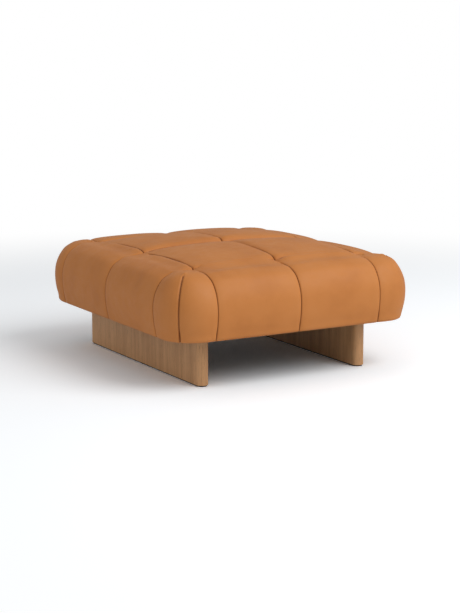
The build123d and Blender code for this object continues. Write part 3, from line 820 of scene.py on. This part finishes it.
# Oak, steel, foam and cloth for the pieces that stay as the CAD has them
oakFinish = {
    "pale": (0.71, 0.39, 0.180),
    "dark": (0.52, 0.267, 0.113),
    "pore": (0.22, 0.105, 0.045),
    # Scales along x, y and z with the grain up the planks, then detail, roughness and distortion
    "figure": ((52.0, 52.0, 3.0), 4.0, 0.55, 0.6),
    "streaks": ((190.0, 190.0, 7.0), 3.0, 0.6),
    "pores": ((900.0, 900.0, 28.0), 2.0, 0.7),
    "figureEnds": (0.33, 0.62),
    "poreEnds": (0.58, 0.68),
    "streakShare": 0.6,
    "poreShare": 0.7,
    "streakHeight": 0.5,
    "roughness": (0.42, 0.62),
    "bump": (0.25, 0.0004),
}


def makeOak():
    material, tree, shader, place = newMaterial("oiledOak")
    finish = oakFinish
    figure = grainNoise(tree, place, *finish["figure"])
    streaks = grainNoise(tree, place, *finish["streaks"])
    pores = grainNoise(tree, place, *finish["pores"])
    color = twoTones(tree, figure, finish["figureEnds"], finish["dark"], finish["pale"])
    color = mixColor(tree, maths(tree, "MULTIPLY", streaks, finish["streakShare"]), color, finish["dark"])
    poreMask = mapped(tree, pores, 0.0, finish["poreShare"], *finish["poreEnds"])
    color = mixColor(tree, poreMask, color, finish["pore"])
    height = maths(tree, "SUBTRACT", maths(tree, "MULTIPLY", streaks, finish["streakHeight"]), poreMask)
    setSurface(tree, shader, color, mapped(tree, streaks, *finish["roughness"]), height, finish["bump"])
    return material


pineFinish = {
    "early": (0.60, 0.40, 0.20),
    "middle": (0.74, 0.55, 0.33),
    "late": (0.66, 0.45, 0.24),
    "fibre": (0.52, 0.33, 0.16),
    "rings": ((9.0, 2.0, 60.0), 3.0, 0.5, 0.8),
    "fibres": ((160.0, 12.0, 420.0), 2.0, 0.6),
    "ringStops": (0.35, 0.5, 0.62),
    "fibreShare": 0.3,
    "roughness": (0.62, 0.8),
    "bump": (0.2, 0.0003),
}


def makePine():
    material, tree, shader, place = newMaterial("planedPine")
    finish = pineFinish
    rings = grainNoise(tree, place, *finish["rings"])
    fibres = grainNoise(tree, place, *finish["fibres"])
    stops = zip(finish["ringStops"], (finish["early"], finish["middle"], finish["late"]))
    color = colorRamp(tree, rings, tuple(stops))
    color = mixColor(tree, maths(tree, "MULTIPLY", fibres, finish["fibreShare"]), color, finish["fibre"])
    setSurface(tree, shader, color, mapped(tree, fibres, *finish["roughness"]), fibres, finish["bump"])
    return material


plywoodFinish = {
    "dark": (0.60, 0.43, 0.25),
    "pale": (0.72, 0.56, 0.36),
    "glueLine": (0.45, 0.30, 0.16),
    "face": ((7.0, 70.0, 7.0), 4.0, 0.55, 0.4),
    "plies": {"Scale": 105.0, "Distortion": 0.3},
    "faceEnds": (0.35, 0.65),
    "glueShare": 0.28,
    "roughness": (0.55, 0.75),
    "bump": (0.15, 0.0003),
}


def makePlywood():
    material, tree, shader, place = newMaterial("birchPlywood")
    finish = plywoodFinish
    plies = addNode(tree, "ShaderNodeTexWave", {"Vector": place, **finish["plies"]},
                    bands_direction="Z").outputs["Fac"]
    face = grainNoise(tree, place, *finish["face"])
    color = twoTones(tree, face, finish["faceEnds"], finish["dark"], finish["pale"])
    color = mixColor(tree, maths(tree, "MULTIPLY", plies, finish["glueShare"]), color, finish["glueLine"])
    setSurface(tree, shader, color, mapped(tree, face, *finish["roughness"]), face, finish["bump"])
    return material


foamFinish = {
    "firm": {"color": (0.80, 0.76, 0.62), "cell": 0.0012},
    "soft": {"color": (0.88, 0.86, 0.80), "cell": 0.0018},
    "tint": (12.0, 3.0),
    "shade": 0.82,                # of the colour, in the cells
    "cellShare": 0.35,
    "roughness": (0.75, 0.2),     # in the flat, and more in the cells
    "bumpStrength": 0.6,
}


def makeFoam(name, kind):
    material, tree, shader, place = newMaterial(name)
    color, cell = kind["color"], kind["cell"]
    cells = cellDistance(tree, place, 1 / cell)
    shaded = tuple(value * foamFinish["shade"] for value in color)
    base = mixColor(tree, noiseValue(tree, place, *foamFinish["tint"]), shaded, color)
    base = mixColor(tree, maths(tree, "MULTIPLY", cells, foamFinish["cellShare"]), base, shaded)
    least, more = foamFinish["roughness"]
    rough = maths(tree, "ADD", maths(tree, "MULTIPLY", cells, more), least, True)
    setSurface(tree, shader, base, rough, cells, (foamFinish["bumpStrength"], cell / 2))
    return material


powderCoatFinish = {
    "dark": (0.012, 0.012, 0.013),
    "pale": (0.035, 0.035, 0.037),
    "peel": (900.0, 3.0, 0.6),
    "peelEnds": (0.3, 0.7),
    "roughness": (0.42, 0.6),
    "bump": (0.3, 0.0002),
}


def makePowderCoat():
    material, tree, shader, place = newMaterial("blackPowderCoat")
    finish = powderCoatFinish
    peel = noiseValue(tree, place, *finish["peel"])
    color = twoTones(tree, peel, finish["peelEnds"], finish["dark"], finish["pale"])
    setSurface(tree, shader, color, mapped(tree, peel, *finish["roughness"]), peel, finish["bump"])
    return material


zincFinish = {
    "dark": (0.60, 0.60, 0.58),
    "pale": (0.74, 0.73, 0.70),
    "brushed": ((400.0, 400.0, 2400.0), 2.0, 0.5),
    "spangle": 420.0,
    "roughness": (0.28, 0.44),
    "bump": (0.15, 0.0001),
}


def makeZinc():
    material, tree, shader, place = newMaterial("zincPlate")
    finish = zincFinish
    brushed = grainNoise(tree, place, *finish["brushed"])
    color = mixColor(tree, cellDistance(tree, place, finish["spangle"]), finish["dark"], finish["pale"])
    shader.inputs["Metallic"].default_value = 1.0
    setSurface(tree, shader, color, mapped(tree, brushed, *finish["roughness"]), brushed, finish["bump"])
    return material


dustClothFinish = {
    "dark": (0.010, 0.010, 0.011),
    "pale": (0.034, 0.034, 0.036),
    "fibres": (420.0, 4.0, 0.7, 1.2),
    "dots": (380.0, 0.15),        # scale and unevenness of the pressed dots
    "fibreEnds": (0.35, 0.65),
    "fibreShare": 0.6,
    "roughness": (0.72, 0.2),     # at least, and more on the fibres
    "bump": (0.4, 0.0004),
}


def makeDustCloth():
    material, tree, shader, place = newMaterial("dustCloth")
    finish = dustClothFinish
    fibres = noiseValue(tree, place, *finish["fibres"])
    dots = cellDistance(tree, place, *finish["dots"], distance="CHEBYCHEV")
    color = twoTones(tree, fibres, finish["fibreEnds"], finish["dark"], finish["pale"])
    least, more = finish["roughness"]
    rough = maths(tree, "ADD", maths(tree, "MULTIPLY", fibres, more), least)
    height = maths(tree, "ADD", dots, maths(tree, "MULTIPLY", fibres, finish["fibreShare"]))
    setSurface(tree, shader, color, rough, height, finish["bump"])
    return material


twineFinish = {
    "dark": (0.52, 0.47, 0.38),
    "pale": (0.82, 0.78, 0.68),
    "stretch": (1.0, 1.0, 1.6),
    "layScale": 170.0,
    "roughness": (0.5, 0.2),      # between the strands, and more on them
    "bump": (0.5, 0.0005),
}


def makeTwine():
    material, tree, shader, place = newMaterial("waxedTwine")
    finish = twineFinish
    place = scaled(tree, place, finish["stretch"])
    lay = addNode(tree, "ShaderNodeTexWave", {"Vector": place, "Scale": finish["layScale"]},
                  bands_direction="DIAGONAL").outputs["Fac"]
    least, more = finish["roughness"]
    rough = maths(tree, "ADD", maths(tree, "MULTIPLY", lay, more), least)
    setSurface(tree, shader, mixColor(tree, lay, finish["dark"], finish["pale"]), rough, lay, finish["bump"])
    return material


fineFinish = {
    "nylon": {"dark": (0.66, 0.65, 0.60), "pale": (0.80, 0.79, 0.75), "grain": (300.0, 3.0, 0.6),
              "roughness": (0.35, 0.5)},
    "beech": {"dark": (0.62, 0.42, 0.25), "pale": (0.74, 0.55, 0.36), "grain": (160.0, 3.0, 0.6),
              "roughness": (0.55, 0.7)},
    "rubber": {"dark": (0.012, 0.012, 0.012), "pale": (0.028, 0.028, 0.028), "grain": (500.0, 3.0, 0.6),
               "roughness": (0.6, 0.8)},
    "bump": (0.2, 0.0002),
}


def makeFine(name, kind):
    # Fine even grain, slightly uneven colour
    material, tree, shader, place = newMaterial(name)
    fine = noiseValue(tree, place, *kind["grain"])
    color = mixColor(tree, fine, kind["dark"], kind["pale"])
    setSurface(tree, shader, color, mapped(tree, fine, *kind["roughness"]), fine, fineFinish["bump"])
    return material


materialOfSlot = {
    "oak": makeOak(),
    "softwood": makePine(),
    "plywood": makePlywood(),
    "foam_firm": makeFoam("firmFoam", foamFinish["firm"]),
    "foam_soft": makeFoam("softFoam", foamFinish["soft"]),
    "black_steel": makePowderCoat(),
    "zinc_steel": makeZinc(),
    "dust_cloth": makeDustCloth(),
    "twine": makeTwine(),
    "washer_plastic": makeFine("naturalNylon", fineFinish["nylon"]),
    "beech": makeFine("beechDowel", fineFinish["beech"]),
    "glide_rubber": makeFine("glideRubber", fineFinish["rubber"]),
}
slotOfNode = {part["node"]: part["material_slot"] for part in frame["record"]["subparts"]}
for node, piece in frame["nodes"].items():
    if slotOfNode[node] in materialOfSlot:
        piece.data.materials.clear()
        piece.data.materials.append(materialOfSlot[slotOfNode[node]])
print("finishes set")


# Floor and light
studio = {
    "floorSize": 16.0,
    "floorColor": (0.82, 0.82, 0.82),
    "floorSeen": (1.205, 1.235, 1.265),    # the floor as the camera sees it, white where it is lit
    "fade": (1.5, 3.2),           # distances over which the floor runs into the white backdrop
    "ambient": 0.475,
    "aim": (0, 0, 0.25),
    "key": {"place": (1.6, -2.95, 3.3), "size": 3.2, "power": 120},
    "fill": {"place": (-3.2, 0.6, 0.9), "size": 1.8, "power": 5},
}


def addFloor():
    bpy.ops.mesh.primitive_plane_add(size=studio["floorSize"], location=(0, 0, 0))
    floor = bpy.context.object
    floor.name = "paleFloor"
    material = bpy.data.materials.new("paleFloor")
    material.use_nodes = True
    tree = material.node_tree
    tree.nodes.remove(tree.nodes["Principled BSDF"])
    place = addNode(tree, "ShaderNodeTexCoord").outputs["Object"]
    seen = addNode(tree, "ShaderNodeLightPath").outputs["Is Camera Ray"]
    shade = mixColor(tree, seen, studio["floorColor"], studio["floorSeen"])
    paper = addNode(tree, "ShaderNodeBsdfDiffuse", {"Color": shade})
    white = addNode(tree, "ShaderNodeEmission")
    distance = addNode(tree, "ShaderNodeVectorMath", {0: place}, operation="LENGTH").outputs["Value"]
    near, far = studio["fade"]
    fade = maths(tree, "MULTIPLY", mapped(tree, distance, 0.0, 1.0, near, far, "SMOOTHSTEP"), seen)
    surface = addNode(tree, "ShaderNodeMixShader", {0: fade, 1: paper.outputs[0], 2: white.outputs[0]})
    tree.links.new(surface.outputs[0], tree.nodes["Material Output"].inputs["Surface"])
    floor.data.materials.append(material)


def addWorld():
    world = bpy.data.worlds.new("studioWorld")
    bpy.context.scene.world = world
    world.use_nodes = True
    tree = world.node_tree
    background = tree.nodes["Background"]
    background.inputs["Color"].default_value = (1, 1, 1, 1)
    seen = addNode(tree, "ShaderNodeLightPath").outputs["Is Camera Ray"]
    tree.links.new(mapped(tree, seen, studio["ambient"], 1.0), background.inputs["Strength"])


def addSoftbox(name, settings):
    place = Vector(settings["place"])
    aim = Vector(studio["aim"]) - place
    bpy.ops.object.light_add(type="AREA", location=place, rotation=aim.to_track_quat("-Z", "Y").to_euler())
    lamp = bpy.context.object
    lamp.name = name
    lamp.data.size = settings["size"]
    lamp.data.energy = settings["power"]


bpy.context.scene.view_settings.view_transform = "Standard"
addFloor()
addWorld()
addSoftbox("keySoftbox", studio["key"])
addSoftbox("fillSoftbox", studio["fill"])
bpy.ops.object.select_all(action="DESELECT")
print("studio lit")
